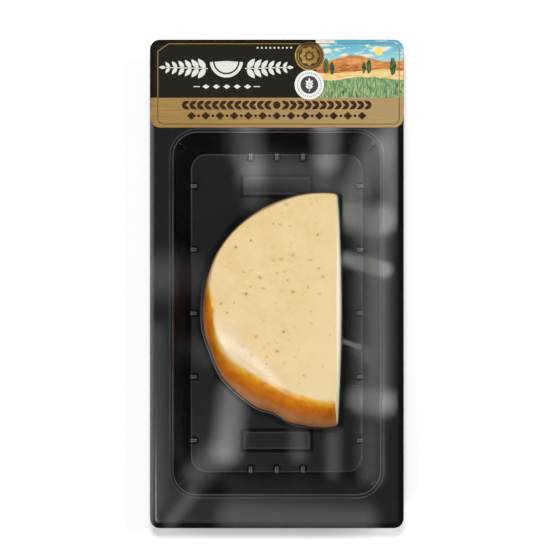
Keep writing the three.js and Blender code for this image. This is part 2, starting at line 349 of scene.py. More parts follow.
def bar(start, stop, radius, sides=20):
    """A round bar with domed ends: a cylinder whose two rims are bevelled almost as far as they go."""
    deselect()
    length = (stop - start).length + 2 * radius
    bpy.ops.mesh.primitive_cylinder_add(vertices=sides, radius=radius, depth=length)
    piece = bpy.context.object
    bpy.ops.object.mode_set(mode="EDIT")
    bpy.ops.mesh.select_all(action="DESELECT")
    mesh = bmesh.from_edit_mesh(piece.data)
    for edge in mesh.edges:
        edge.select = abs(edge.verts[0].co.z - edge.verts[1].co.z) < radius / 100
    bmesh.update_edit_mesh(piece.data)
    bpy.ops.mesh.bevel(offset=0.97 * radius, segments=6)
    bpy.ops.object.mode_set(mode="OBJECT")
    turn = (stop - start).to_track_quat("Z", "Y").to_matrix().to_4x4()
    piece.data.transform(Matrix.Translation((start + stop) / 2) @ turn)
    return piece


def braces(distance):
    """The low ribs across the floor's edges and the lugs high in the corners, swollen by a distance."""
    made = []
    length, shift = RIB_ON_FLOOR + RIB_INTO_WALL, (RIB_INTO_WALL - RIB_ON_FLOOR) / 2
    places = [(side, 0, side * FLOOR[0] / 2, k * SIDE_RIB_PITCH) for side in (1, -1) for k in range(-2, 3)]
    places += [(0, end, k * END_RIB_PITCH, end * FLOOR[1] / 2) for end in (1, -1) for k in range(-1, 2)]
    for way_x, way_y, x, y in places:
        to_place = Matrix.Translation((x + way_x * shift, RECESS_MIDDLE + y + way_y * shift, 0))
        wide, long = (length, RIB_TOP_WIDTH) if way_x else (RIB_TOP_WIDTH, length)
        profile = [
            [(wide + 2 * out, long + 2 * out, RIB_TOP_CORNER + out, 0), FLOOR_TOP + rise]
            for out, rise in RIB_SECTION
        ]
        rings = [
            [to_place @ Vector(point) for point in rounded(outline, level)]
            for outline, level in moved(profile, distance)
        ]
        made.append(lofted("rib", rings))
    for side, end in QUARTERS:
        ends = []
        for (width, length, corner, middle), level in ((RECESS, FLANGE_TOP), (FLOOR, FLOOR_TOP)):
            x = side * (width / 2 + corner * (math.cos(LUG_ANGLE) - 1))
            y = middle + end * (length / 2 + corner * (math.sin(LUG_ANGLE) - 1))
            ends.append(Vector((x, y, level)))
        high, low = ends
        made.append(bar(high.lerp(low, LUG_START), high.lerp(low, LUG_END), LUG_RADIUS + distance))
    return made


def pads(distance):
    """The two raised pads in the floor, as frustums that run on down through it, swollen by a distance."""
    made = []
    swell = distance * math.tan(math.atan2(PAD_HEIGHT, PAD_SLOPE) / 2)
    for end in (1, -1):
        deselect()
        middle = (0, RECESS_MIDDLE + end * PAD_FROM_MIDDLE, FLOOR_TOP + distance)
        bpy.ops.mesh.primitive_cube_add(size=1, location=middle)
        piece = bpy.context.object
        piece.scale = (PAD_WIDTH + 2 * swell, PAD_LENGTH + 2 * swell, 2 * PAD_HEIGHT)
        bpy.ops.object.transform_apply(location=True, scale=True)
        for vertex in piece.data.vertices:
            if vertex.co.z < middle[2]:
                vertex.co.x += math.copysign(2 * PAD_SLOPE, vertex.co.x)
                vertex.co.y += math.copysign(2 * PAD_SLOPE, vertex.co.y - middle[1])
        made.append(piece)
    return made


def cut(piece, tools, operation):
    """Joins tools to a piece or cuts them from it, one after another."""
    for tool in tools:
        modify(piece, "BOOLEAN", object=tool, operation=operation, solver="MANIFOLD")
        bpy.data.objects.remove(tool)
    return piece


def smooth(piece, angle=35):
    """Smooth shading up to an angle between faces, with large flat faces kept flat."""
    only(piece)
    bpy.ops.object.shade_smooth_by_angle(angle=math.radians(angle))
    modify(piece, "WEIGHTED_NORMAL", mode="FACE_AREA", weight=50, keep_sharp=True)


tray = named(mould(0, 0), "black_tray")
cut(tray, [*pads(0), *braces(0)], "UNION")
cut(tray, [cut(mould(-SHEET, BEYOND_PACK), pads(-SHEET), "UNION")], "DIFFERENCE")
modify(tray, "WELD", merge_threshold=WELD)
smooth(tray)

black = Finish("black_plastic", IOR=1.4, Specular_IOR_Level=0.15)
cloud = black.noise(22 * MM, detail=3)
grain = black.noise(0.35 * MM, detail=2, seed=0.4)
scuffs = black.noise(0.9 * MM, detail=4, seed=0.7, place=black.stretched(1, 0.12, 1)).between(0.6, 0.74)
black.feed(
    Base_Color=black.mix(cloud, linear(12, 12, 13), linear(20, 20, 21)),
    Roughness=0.2 + 0.08 * cloud + 0.04 * scuffs,
    Normal=black.bump(grain, 0.012 * MM),
)
black.on(tray)

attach(tray, "root")
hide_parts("tray")

# ---- Cheese --------------------------------------------------------------------------------------
# A slab across a ball-shaped smoked provolone, halved with a knife: pale pressed curd with oregano
# in it, inside a thin amber rind that smoke has coloured. It lies loose in the tray's recess.

CHEESE_LOW, CHEESE_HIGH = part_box("cheese")
FLECK_PROUD = 0.2 * MM
CHEESE_BASE, CHEESE_TOP = CHEESE_LOW.z, CHEESE_HIGH.z - FLECK_PROUD
GIRTH_RISE = 9 * MM
GIRTH_LEVEL = CHEESE_BASE + GIRTH_RISE
FOOT_INSET, CUT_BOW = 2.2 * MM, 2 * MM

# Each outline is a circle in plan, cut off at the knife's line: middle, radius, cut, corner, unevenness.
# It swells out or is dented at some angles: degrees, millimetres outwards and degrees of spread.
TOP_FACE = dict(x=19.5 * MM, y=-5.8 * MM, radius=50.7 * MM, cut=29.2 * MM, corner=2 * MM, uneven=2 * MM)
TOP_FACE["swells"] = [(208, 3, 14)]
GIRTH = dict(x=22 * MM, y=-13.25 * MM, radius=58.95 * MM, cut=30.5 * MM, corner=2.2 * MM, uneven=0.3 * MM)
GIRTH["swells"] = [(140, 0.25, 30), (190, 0.6, 7), (214, 1.2, 9), (246, -1.9, 6), (258, -0.5, 16)]
LOBE_ANGLE = math.radians(165)
SHOULDER_ACROSS, SHOULDER_DOWN, CRISP_ACROSS, CRISP_DOWN = 1.25, 1.48, 0.75, 0.7
RIND_STEPS, CUT_STEPS, EDGE_STEPS, SHOULDER_STEPS = 104, 34, 6, 12

# The top face sinks towards its rim, most at one end. Its edge is crisp along the knife's cut and
# towards the header, and rolls over softly where the rind shows.
SAG, SAG_REACH, LEAST_SAG = 2.2 * MM, 14 * MM, 0.15
SAG_ANGLE, SAG_SPREAD = math.radians(224), math.radians(30)
TOP_RINGS = (0.5, 0.64, 0.74, 0.82, 0.88, 0.93, 0.97)
CRISP = np.clip((0.48 - np.arange(RIND_STEPS) / RIND_STEPS) / 0.12, 0, 1)
CRISP = np.concatenate([CRISP, np.linspace(0, 1, EDGE_STEPS), np.ones(CUT_STEPS + EDGE_STEPS)])

# How far the paste reaches over the rim before the rind begins: degrees round the slab, millimetres.
PASTE_REACH = [
    (0, 2), (90, 4.5), (150, 5), (161, 7), (169, 6.5), (175, 2.2),
    (182, -0.6), (188, -0.8), (196, 2.2), (206, 2.8), (216, 3.1), (223, 2.2),
    (234, 0.4), (250, -1.1), (260, -1), (270, 1.6), (276, 3.4), (360, 3.4),
]  # fmt: skip


def swollen(face, degrees):
    """How far an outline swells outwards at an angle."""
    return sum(out * MM * math.exp(-(((degrees - at) / spread) ** 2)) for at, out, spread in face["swells"])


def half_round(face, grow=0.0, girth=False):
    """The half round's outline, grown by a distance: rind, lower corner, knife cut, upper corner."""
    radius, corner = face["radius"] + grow, max(face["corner"] + grow, 0.4 * MM)
    corner_x = face["cut"] + grow - corner
    rise = math.sqrt((radius - corner) ** 2 - (corner_x - face["x"]) ** 2)
    turn = math.atan2(rise, corner_x - face["x"])
    points = []
    for step in range(RIND_STEPS):
        share = step / RIND_STEPS
        angle = turn + 2 * share * (math.pi - turn)
        wave = face["uneven"] * math.cos(3 * (angle - LOBE_ANGLE))
        fade = min(1, 6 * min(share, 1 - share))
        reach = radius + fade * (wave + swollen(face, math.degrees(angle)))
        points.append(at_angle(face["x"], face["y"], reach, angle))
    for step in range(EDGE_STEPS):
        angle = -turn * (1 - step / EDGE_STEPS)
        points.append(at_angle(corner_x, face["y"] - rise, corner, angle))
    for step in range(CUT_STEPS):
        share = 2 * step / CUT_STEPS - 1
        bow = CUT_BOW * (1 - share * share) if girth else 0
        points.append((face["cut"] + grow + bow, face["y"] + share * rise))
    for step in range(EDGE_STEPS):
        angle = turn * step / EDGE_STEPS
        points.append(at_angle(corner_x, face["y"] + rise, corner, angle))
    return np.array(points)


def at_level(outline, level):
    return np.column_stack([outline, np.full(len(outline), level)])


def shrunk(ring, share):
    """A ring drawn in towards its middle."""
    middle = ring.mean(axis=0)
    return middle + (ring - middle) * share


def sag(ring, rim):
    """How far the top face has sunk under each point of a ring inside its rim."""
    angle = np.arctan2(rim[:, 1] - TOP_FACE["y"], rim[:, 0] - TOP_FACE["x"]) % (2 * math.pi)
    most = LEAST_SAG + (1 - LEAST_SAG) * np.exp(-(((angle - SAG_ANGLE) / SAG_SPREAD) ** 2))
    return SAG * most * np.clip(1 - np.linalg.norm(rim - ring, axis=1) / SAG_REACH, 0, 1) ** 2


def top_face(distance):
    """Rings on the top face from its middle outwards, moved up by a distance."""
    rim = half_round(TOP_FACE)
    rings = [shrunk(rim, share) for share in TOP_RINGS]
    return [at_level(ring, CHEESE_TOP - sag(ring, rim) + distance) for ring in rings]


def shoulder(distance):
    """Rings from the top face's rim over the shoulder to the girth, moved out by a distance."""
    rim = half_round(TOP_FACE)
    rim_level = CHEESE_TOP - sag(rim, rim)
    across_power = (SHOULDER_ACROSS + (CRISP_ACROSS - SHOULDER_ACROSS) * CRISP)[:, None]
    down_power = SHOULDER_DOWN + (CRISP_DOWN - SHOULDER_DOWN) * CRISP
    rings = []
    for step in range(SHOULDER_STEPS + 1):
        turn = step / SHOULDER_STEPS * math.pi / 2
        across, height = math.sin(turn) ** across_power, max(math.cos(turn), 0) ** down_power
        top = half_round(TOP_FACE, distance * math.sin(turn))
        girth = half_round(GIRTH, distance * math.sin(turn), girth=True)
        level = GIRTH_LEVEL + (rim_level - GIRTH_LEVEL) * height + distance * math.cos(turn)
        rings.append(at_level(top + (girth - top) * across, level))
    return rings


def read(rows, name, width):
    """What a mesh holds for each of its vertices, as an array."""
    values = np.empty(width * len(rows))
    rows.foreach_get(name, values)
    return values.reshape(-1, width)


def vertices(piece):
    return read(piece.data.vertices, "co", 3)


def push(piece, distances):
    """Moves each vertex along its normal."""
    places = vertices(piece) + read(piece.data.vertex_normals, "vector", 3) * distances[:, None]
    piece.data.vertices.foreach_set("co", places.ravel())
    piece.data.update()


def lumps(points, size, seed):
    """Smooth noise from -1 to 1 at points, with lumps of about one size."""
    return np.array([noise.noise(Vector(p) / size + Vector((seed, -seed, seed))) for p in points])


face, over = top_face(0), shoulder(0)
foot = []
for share in (0.8, 0.6, 0.42, 0.27, 0.14, 0.05, 0.0):
    ring = half_round(GIRTH, -FOOT_INSET * (1 - share) ** 2.2, girth=True)
    foot.append(at_level(ring, CHEESE_BASE + GIRTH_RISE * share))
cheese = lofted("smoked_provolone", [*face, *over, *foot, shrunk(foot[-1], 0.97)])

# Its two flat ends become grids of four-sided faces, which subdivide evenly.
bpy.ops.object.mode_set(mode="EDIT")
for level in (CHEESE_TOP, CHEESE_BASE):
    mesh = bmesh.from_edit_mesh(cheese.data)
    bpy.ops.mesh.select_all(action="DESELECT")
    for polygon in mesh.faces:
        polygon.select = len(polygon.verts) > 4 and abs(polygon.calc_center_median().z - level) < MM
    bmesh.update_edit_mesh(cheese.data)
    bpy.ops.mesh.delete(type="ONLY_FACE")
    bpy.ops.mesh.select_non_manifold()
    mesh = bmesh.from_edit_mesh(cheese.data)
    for edge in mesh.edges:
        edge.select = edge.is_boundary and abs(edge.verts[0].co.z - level) < MM
    bmesh.update_edit_mesh(cheese.data)
    bpy.ops.mesh.fill_grid()
bpy.ops.object.mode_set(mode="OBJECT")

# How far each ring lies over the shoulder, less the paste's reach, tells paste from rind.
run, path = np.zeros(len(over[0])), [-np.linalg.norm(over[0] - ring, axis=1) for ring in face]
for before, after in zip(over + foot, (over + foot)[1:]):
    path.append(run)
    run = run + np.linalg.norm(after - before, axis=1)
path.append(run)
angles = np.degrees(np.arctan2(over[-1][:, 1] - GIRTH["y"], over[-1][:, 0] - GIRTH["x"])) % 360
paste_reach = np.interp(angles, *zip(*PASTE_REACH)) * MM
paste_reach = (np.roll(paste_reach, 1) + 2 * paste_reach + np.roll(paste_reach, -1)) / 4
on_cut = np.arange(len(angles)) >= RIND_STEPS + EDGE_STEPS // 2
on_cut &= np.arange(len(angles)) < len(angles) - EDGE_STEPS // 2
values = np.concatenate([np.where(on_cut, np.minimum(run, 0) - 2 * MM, run - paste_reach) for run in path])
values = np.concatenate([values, np.full(len(cheese.data.vertices) - len(values), -4 * MM)])
cheese.data.attributes.new("rind", "FLOAT", "POINT").data.foreach_set("value", values)

modify(cheese, "SUBSURF", levels=2, render_levels=2)
points = vertices(cheese)
rind = read(cheese.data.attributes["rind"].data, "value", 1)[:, 0]
on_rind = np.clip(rind / (3 * MM), 0, 1)
uneven = 0.28 * MM * lumps(points, 9 * MM, 3.1) + 0.1 * MM * lumps(points, 3 * MM, 5.3)
calm = 0.07 * MM * lumps(points, 14 * MM, 8.2) + 0.02 * MM * lumps(points, 2.2 * MM, 1.7) - 0.06 * MM
push(cheese, on_rind * (uneven - 0.15 * MM) + (1 - on_rind) * calm)
only(cheese)
bpy.ops.object.shade_smooth()

paste = Finish("provolone", Roughness=0.42, IOR=1.45, Subsurface_Weight=0.12, Subsurface_Scale=3 * MM)
paste.shader.inputs["Subsurface Radius"].default_value = (1, 0.6, 0.25)
rind_at = paste.node("Attribute", {"attribute_name": "rind"}).output("Fac")
reach = rind_at + 1.1 * MM * (paste.noise(7 * MM) - 0.5)
mottle = paste.noise(13 * MM, detail=4, seed=0.3)
curd = paste.noise(2.4 * MM, detail=3, seed=0.6)
pale = paste.mix(mottle.between(0.3, 0.7), linear(222, 193, 138), linear(229, 202, 152))
pale = paste.mix(curd.between(0.35, 0.65) * 0.2, pale, linear(236, 214, 168))
stain = paste.node("Attribute", {"attribute_name": "leaf_stain"}).output("Fac")
stain = stain * (0.4 + 0.6 * paste.noise(0.9 * MM, detail=3, seed=0.9).between(0.35, 0.65))
pale = paste.mix(stain * 0.6, pale, linear(180, 158, 100))
# Painted light: the paste turns paler towards its right side.
pale = paste.mix((paste.x - paste.y * 0.3).between(4 * MM, 42 * MM) * 0.75, pale, linear(230, 208, 164))
# A painted highlight: the paste is painted near white in a thin band along the knife's cut.
knife_edge_highlight = paste.x.between(29.5 * MM, 30.3 * MM)
pale = paste.mix(knife_edge_highlight, pale, linear(255, 247, 226))
# The rind's colour from the paste's edge down to its foot; the pale last stop is a painted sheen of the
# film's reflection.
smoke_and_sheen = paste.node(
    "ValToRGB",
    {
        "stops": [
            (0, linear(236, 184, 62)),
            (0.1, linear(234, 152, 12)),
            (0.3, linear(228, 130, 10)),
            (0.7, linear(224, 128, 38)),
            (1, linear(238, 162, 102)),
        ]
    },
    reach.between(-0.5 * MM, 17 * MM),
)
blotch = paste.noise(5 * MM, detail=4, seed=1.4).between(0.35, 0.7)
smoke_and_sheen = paste.mix(blotch * (0.5 - 0.25 * reach.between(6 * MM, 12 * MM)), smoke_and_sheen, linear(178, 84, 12))
pores = paste.noise(0.55 * MM, detail=2, seed=2.1)
paste.feed(
    Base_Color=paste.mix(reach.between(-1.6 * MM, 0.9 * MM), pale, smoke_and_sheen),
    Roughness=0.5 - 0.12 * reach.between(0, MM) + 0.1 * (curd - 0.5),
    Normal=paste.bump(pores, 0.03 * MM, under=paste.bump(curd, 0.08 * MM)),
)
paste.on(cheese)

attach(cheese, "root")
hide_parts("cheese")

# ---- Oregano -------------------------------------------------------------------------------------
# Crumbled dried leaf, stirred into the curd: chips lie open in the cut face, with finer crumbs
# between them and a few in the rind.

SPIRAL, FLECK_RADIUS, FLECK_MARGIN, FLECK_SEED = 92, 0.75 * MM, 2.5 * MM, 7
CRUMBS, RIND_CRUMBS = 60, 22
CHIP_SIDES, CHIP_PROUD, CRUMB_PROUD = 9, 0.16 * MM, 0.07 * MM
STAIN_PAST, STAIN_FADE = 0.15 * MM, 1.1 * MM


def scatter(index, channel):
    """A repeatable number from 0 to 1 for each index and channel."""
    return math.sin((index + 1) * 12.9898 + channel * 78.233 + FLECK_SEED) * 43758.5453 % 1


surface = BVHTree.FromPolygons(
    [vertex.co for vertex in cheese.data.vertices], [polygon.vertices for polygon in cheese.data.polygons]
)
crumble = random.Random(11)
chips, chip_places = [], []


def joined(pieces, name):
    """Several pieces made into one."""
    only(pieces[0])
    for piece in pieces:
        piece.select_set(True)
    bpy.ops.object.join()
    return named(pieces[0], name)


def turned(out, off, angle):
    """A step forward and a step to its left, turned by an angle in plan."""
    return out * math.cos(angle) - off * math.sin(angle), out * math.sin(angle) + off * math.cos(angle)


def chip(x, y, radius, flatness, turn, proud):
    """A torn chip of leaf, sunk in the cheese where a line from above meets it."""
    place, normal, _, _ = surface.ray_cast(Vector((x, y, 1)), Vector((0, 0, -1)))
    if place is None:
        return
    edge = [crumble.uniform(0.45, 1.25) for _ in range(CHIP_SIDES)]
    rings = []
    for share, height in ((0.8, -0.6 * proud), (1, 0.25 * proud), (0.72, 0.85 * proud), (0.25, proud)):
        ring = []
        for side, reach in enumerate(edge):
            angle = 2 * math.pi * side / CHIP_SIDES
            out, off = at_angle(0, 0, reach * share * radius, angle)
            ring.append((*turned(out, off * flatness, turn), height))
        rings.append(ring)
    piece = lofted("chip", rings)
    piece.data.transform(Matrix.Translation(place) @ normal.to_track_quat("Z", "Y").to_matrix().to_4x4())
    chips.append(piece)
    chip_places.append((*place, radius))


for index in range(SPIRAL):
    angle = index * math.pi * (3 - math.sqrt(5)) + scatter(index, 0) - 0.5
    reach = TOP_FACE["radius"] * math.sqrt((index + scatter(index, 1)) / SPIRAL)
    x, y = at_angle(TOP_FACE["x"], TOP_FACE["y"], reach, angle)
    if x <= TOP_FACE["cut"] - FLECK_MARGIN and reach <= TOP_FACE["radius"] - FLECK_MARGIN:
        radius = FLECK_RADIUS * (0.5 + 0.7 * scatter(index, 2))
        chip(x, y, radius, 0.35 + 0.35 * scatter(index, 3), scatter(index, 4) * math.pi, CHIP_PROUD)
for crumb in range(CRUMBS + RIND_CRUMBS):
    angle = crumble.uniform(0.5, 1.5) * math.pi
    if crumb < CRUMBS:
        face, reach = TOP_FACE, crumble.uniform(0, 1) ** 0.5 * (TOP_FACE["radius"] - FLECK_MARGIN)
    else:
        face, reach = GIRTH, GIRTH["radius"] - crumble.uniform(1, 8) * MM
    x, y = at_angle(face["x"], face["y"], reach, angle)
    radius, flatness = crumble.uniform(0.12, 0.34) * MM, crumble.uniform(0.5, 1)
    chip(x, y, radius, flatness, crumble.uniform(0, math.pi), CRUMB_PROUD)

# The curd round each chip is stained by it and shows the part that is buried.
points, stain = vertices(cheese), np.zeros(len(cheese.data.vertices))
for x, y, z, radius in chip_places:
    off = np.linalg.norm((points - (x, y, z)) * (0.75, 1.1, 1), axis=1) - radius * 0.8 - STAIN_PAST
    share = scatter(x / MM, 6) ** 1.3 * min(1, radius / (0.5 * MM))
    stain = np.maximum(stain, np.clip(1 - off / STAIN_FADE, 0, 1) ** 2 * share)
cheese.data.attributes.new("leaf_stain", "FLOAT", "POINT").data.foreach_set("value", stain)

oregano = joined(chips, "oregano")
herb = Finish("dried_oregano", Roughness=0.8)
kind = herb.noise(3.1 * MM, detail=1, seed=4.4)
shade = herb.mix(kind.between(0.36, 0.62), linear(206, 184, 132), linear(162, 142, 90))
veins = herb.noise(0.5 * MM).between(0.5, 0.62)
herb.feed(
    Base_Color=herb.mix(veins * 0.5, shade, linear(122, 104, 60)),
    Normal=herb.bump(herb.noise(0.2 * MM), 0.03 * MM),
)
herb.on(oregano)

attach(oregano, "root")

# ---- Film ----------------------------------------------------------------------------------------
# A clear skin film, softened by heat and sucked down by vacuum over cheese and tray until it clings.
# It bridges narrow corners, stands off in a flare round the cheese's foot and is sealed to the flange.

FILM_ABOVE_TRAY, FILM_ABOVE_CHEESE, FILM_THICKNESS = 0.25 * MM, 0.4 * MM, 0.1 * MM
FOOT_FLARE = [(4 * MM, 0), (1.8 * MM, 0.5 * MM), (0.8 * MM, 1.3 * MM), (-0.4 * MM, 3 * MM)]

# Low folds that stand in the film, in millimetres: start, end, level, height and half width.
FILM_FOLDS = [
    ((31, -29), (44, -33.8), FLOOR_TOP / MM, 0.75, 0.8),
    ((31, 6.5), (40, 4.5), FLOOR_TOP / MM, 0.2, 1.2),
    ((-21, -66), (-27, -86), FLOOR_TOP / MM, 0.12, 2.4),
]


def drape(distance):
    """All that lies under a skin drawn over the slab: its shoulder, then the flare down to the floor."""
    flare = [
        at_level(half_round(GIRTH, out + distance, girth=True), FLOOR_TOP + height + distance)
        for height, out in FOOT_FLARE
    ]
    skirt = [*shoulder(distance), *flare, at_level(flare[-1][:, :2], BELOW)]
    return lofted("drape", [*top_face(distance), *skirt])


def folds(distance):
    """Each fold is the top of a thick round bar that lies almost wholly under the film."""
    made = []
    for start, stop, level, height, half_width in FILM_FOLDS:
        radius = (height**2 + half_width**2) / (2 * height)
        middle = level + height - radius
        start, stop = Vector((*start, middle)) * MM, Vector((*stop, middle)) * MM
        made.append(bar(start, stop, radius * MM + distance, sides=max(20, int(16 * radius))))
    return made


def under_film(distance):
    """All that lies under the film, moved out by a distance."""
    tray_gap, cheese_gap = FILM_ABOVE_TRAY + distance, FILM_ABOVE_CHEESE + distance
    return cut(
        mould(tray_gap, BEYOND_PACK),
        [*pads(tray_gap), *braces(tray_gap), *folds(tray_gap), drape(cheese_gap)],
        "UNION",
    )


film = named(cut(under_film(FILM_THICKNESS), [under_film(0)], "DIFFERENCE"), "skin_film")
cut(film, [lofted("outline", [rounded(PACK, level) for level in (2 * CHEESE_TOP, BELOW / 2)])], "INTERSECT")
modify(film, "WELD", merge_threshold=WELD)
smooth(film)

# Painted reflections: soft white streaks painted on the film where reflections lie on it, running in from
# the pack's sides: start, end, half width and strength of each.
FILM_REFLECTIONS = [
    # Down from the header.
    ((-14, 76), (-12.5, 57), 12, 0.4),
    ((-22, 72), (-21, 66), 9, 0.12),
    ((-13, 56), (-11, 42), 11, 0.16),
    ((25, 76), (25.5, 63), 11, 0.7),
    ((26, 62), (26, 50), 11, 0.15),
    ((-6, 58), (20, 54), 15, 0.18),
    # Down the right wall.
    ((57, 78), (56, 32), 9, 0.46),
    ((49, 68), (38, 40), 14, 0.6),
    ((40, 33), (51, 32), 12, 0.9),
    ((35, 12.5), (54, 7), 6, 0.95),
    ((48, 24), (48, -46), 13, 0.52),
    ((43, -58), (53, -59), 11, 0.95),
    ((47, -66), (47, -95), 10, 0.3),
    # From the slab's foot.
    ((33, -28.7), (41.5, -32), 2, 0.75),
    ((41, -33), (45, -36), 6, 0.3),
    ((-22, -56), (-25.5, -84), 12, 0.68),
    ((-31, -87), (-40, -96), 12, 0.28),
    ((11, -72), (11, -86), 8, 0.18),
    ((28.5, -74), (28.5, -94), 7, 0.22),
    # Along the left side.
    ((-63, 4), (-46, 4), 18, 0.18),
    ((-43, -32), (-35, -37), 10, 0.12),
    ((-63, 86), (-63, -120), 2.5, 0.47),
    ((-60, -24), (-60, -108), 8, 0.12),
    # Along the lower end.
    ((-20, -102), (40, -102), 10, 0.05),
    ((-22, -116), (43, -118), 13, 0.25),
    ((-53, -119), (-42, -105), 6, 0.2),
]
# The painted highlight on the slab's rim: start, end, half width and strength of each streak.
RIM_HIGHLIGHT = [((-24, -25), (-18.5, -34), 7, 0.6), ((-18.5, -34), (-3, -45), 6, 0.35)]
# The painted highlight lines' half width and strength.
HIGHLIGHT_WIDTH, HIGHLIGHT_STRENGTH = 0.32 * MM, 0.45
# How much painted white sheen the film takes, and the most it takes.
SHEEN_SHARE, MOST_SHEEN = 0.26, 0.245
CLEAR_EDGE, EDGE_FADE = 61.2 * MM, 1.6 * MM
FOOT_LINES_X, FOOT_LINES_Y = -0.77, -0.64

skin = Finish("clear_film")
waver = skin.bump(skin.noise(16 * MM, detail=3), 0.03 * MM)
clear = skin.node("BsdfTransparent", {}, (1, 1, 1, 1))
gloss = skin.node("BsdfGlossy", {}, (1, 1, 1, 1), roughness=0.2, normal=waver)
plan = skin.stretched(1 / MM, 1 / MM, 0)


def streak(start, stop, half_width, strength):
    """A soft streak between two places in plan, in millimetres."""
    way = Vector((stop[0] - start[0], stop[1] - start[1], 0))
    from_start = skin.vector("SUBTRACT", plan, (*start, 0))
    along = skin.vector("DOT_PRODUCT", from_start, way / way.length_squared)
    nearest = skin.vector("SCALE", tuple(way), scale=skin.node("Clamp", {}, along))
    return skin.vector("DISTANCE", from_start, nearest).fading(half_width, strength)


def streaks(places):
    """The sum of several streaks."""
    return sum(streak(*place) for place in places)


def highlight_line(distance, strength, half_width=HIGHLIGHT_WIDTH):
    """A thin white line where a distance is 0: a painted highlight along a sharp bend in the film."""
    return abs(distance).fading(half_width, strength)


def past_face(face):
    """How far a place in plan lies outside the half round's arc, and its way and angle from the middle."""
    off_x, off_y = skin.x - face["x"], skin.y - face["y"]
    reach = (off_x**2 + off_y**2).root()
    angle = (-off_y).maths("ARCTAN2", -off_x) + math.pi
    wave = (3 * angle - 3 * LOBE_ANGLE + math.pi / 2).sine() * face["uneven"]
    return reach - face["radius"] - wave, off_x / reach, off_y / reach, angle


# The painted reflections are a little uneven, and none of them lies on the lip's right edge.
unevenness = skin.noise(8 * MM, detail=3, place=skin.stretched(2.5, 0.6, 1))
reflection_streaks = streaks(FILM_REFLECTIONS) * (0.85 + 0.3 * unevenness)
reflection_streaks = reflection_streaks * (CLEAR_EDGE - skin.x).between(0, EDGE_FADE)

# Over the cheese the film is clear but for a painted highlight, a milky patch where the slab's rim turns
# down.
rim, toward_x, toward_y, angle = past_face(GIRTH)
degrees = angle * math.degrees(1)
for at, out, spread in GIRTH["swells"]:
    rim = rim - (-(((degrees - at) / spread) ** 2)).maths("EXPONENT") * (out * MM)
beyond = rim.above(skin.x - GIRTH["cut"] - CUT_BOW)
reflection_streaks = reflection_streaks * beyond.between(0, 1.2 * MM) + streaks(RIM_HIGHLIGHT) * (1 - beyond.between(-1.2 * MM, 0))

# Painted highlight lines along the tray's bends, its ribs and pads.
line_unevenness = skin.noise(26 * MM, seed=3.3).between(0.3, 0.65)
highlight_lines = 0
for (width, length, corner, middle), inset, strength in (
    (FLOOR, 0.1 * MM, 0.9),
    (RECESS, 0.75 * MM, 0.95),
    (RECESS, -0.75 * MM, 0.6),
):
    bend = skin.past(-width / 2, middle - length / 2, width / 2, middle + length / 2, corner)
    highlight_lines = highlight_line(bend + inset, strength * HIGHLIGHT_STRENGTH) * (0.4 + 0.6 * line_unevenness) + highlight_lines
for end in (1, -1):
    middle = RECESS_MIDDLE + end * PAD_FROM_MIDDLE
    bend = skin.past(-PAD_WIDTH / 2, middle - PAD_LENGTH / 2, PAD_WIDTH / 2, middle + PAD_LENGTH / 2, 0)
    highlight_lines = highlight_lines + highlight_line(bend + 0.5 * MM, 0.35 * HIGHLIGHT_STRENGTH)
from_middle = skin.y - RECESS_MIDDLE
for here, there, pitch, reach, edge in (
    (from_middle, skin.x, SIDE_RIB_PITCH, 2.5 * SIDE_RIB_PITCH, FLOOR[0] / 2),
    (skin.x, from_middle, END_RIB_PITCH, 1.5 * END_RIB_PITCH, FLOOR[1] / 2),
):
    beside = abs((here / pitch + 0.5).maths("FRACT") - 0.5) * pitch
    length_off = abs(abs(there) - edge + 1.2 * MM)
    on_rib = (1 - length_off.between(1.2 * MM, 1.7 * MM)) * (1 - abs(here).between(reach, reach + MM))
    highlight_lines = highlight_lines + highlight_line(beside - 0.5 * MM, 2.2 * HIGHLIGHT_STRENGTH, 0.22 * MM) * on_rib

# Two fine painted highlight lines round the cheese's foot.
foot_side = (FOOT_LINES_Y * toward_y + FOOT_LINES_X * toward_x).between(0.5, 0.9)
highlight_lines = highlight_lines + (highlight_line(rim - 0.95 * MM, 1.5, 0.3 * MM) + highlight_line(rim, 0.5, 0.3 * MM)) * foot_side

outside = 1 - skin.node("NewGeometry", {}).output("Backfacing")
fresnel = skin.node("Fresnel", {}, ior=1.25, normal=waver)
mirrored = skin.node("MixShader", {}, outside * fresnel, clear, gloss)
# A white diffuse layer mixed into the film carries the painted reflections and painted highlights.
white_sheen = skin.node("BsdfDiffuse", {}, linear(251, 252, 253))
painted_sheen = (reflection_streaks * SHEEN_SHARE).below(MOST_SHEEN) + highlight_lines * SHEEN_SHARE
skin.show(skin.node("MixShader", {}, outside * painted_sheen, mirrored, white_sheen))
skin.on(film)

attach(film, "root")
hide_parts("film")

# ---- Label ---------------------------------------------------------------------------------------
# A varnished paper sticker across the header, its edges pressed down over the tray's lip. It is
# printed in black and gold beside a strip of painted hills, inside a thin gold frame.

LABEL_LOW, LABEL_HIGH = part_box("label")
LABEL_ABOVE_TRAY, PAPER = 0.72 * MM, 0.24 * MM
LABEL = (LABEL_HIGH.x - LABEL_LOW.x, LABEL_HIGH.y - LABEL_LOW.y, 5 * MM, (LABEL_HIGH.y + LABEL_LOW.y) / 2)
LABEL_TOP = FLANGE_TOP + LABEL_ABOVE_TRAY + PAPER

# Printed fields in millimetres: the gold band's upper edge, the painting's left edge and the frame,
# as its left, lower, right and upper sides and its corners' radius.
BAND_TOP, PAINTING_LEFT = 93.0, 19.45
FRAME = (-59.45, 79.85, 61.2, 120.05, 3)
FRAME_CHAMFER_AT, FRAME_CHAMFER_WAY = (-54.1, 120.05), (-0.579, 0.815)

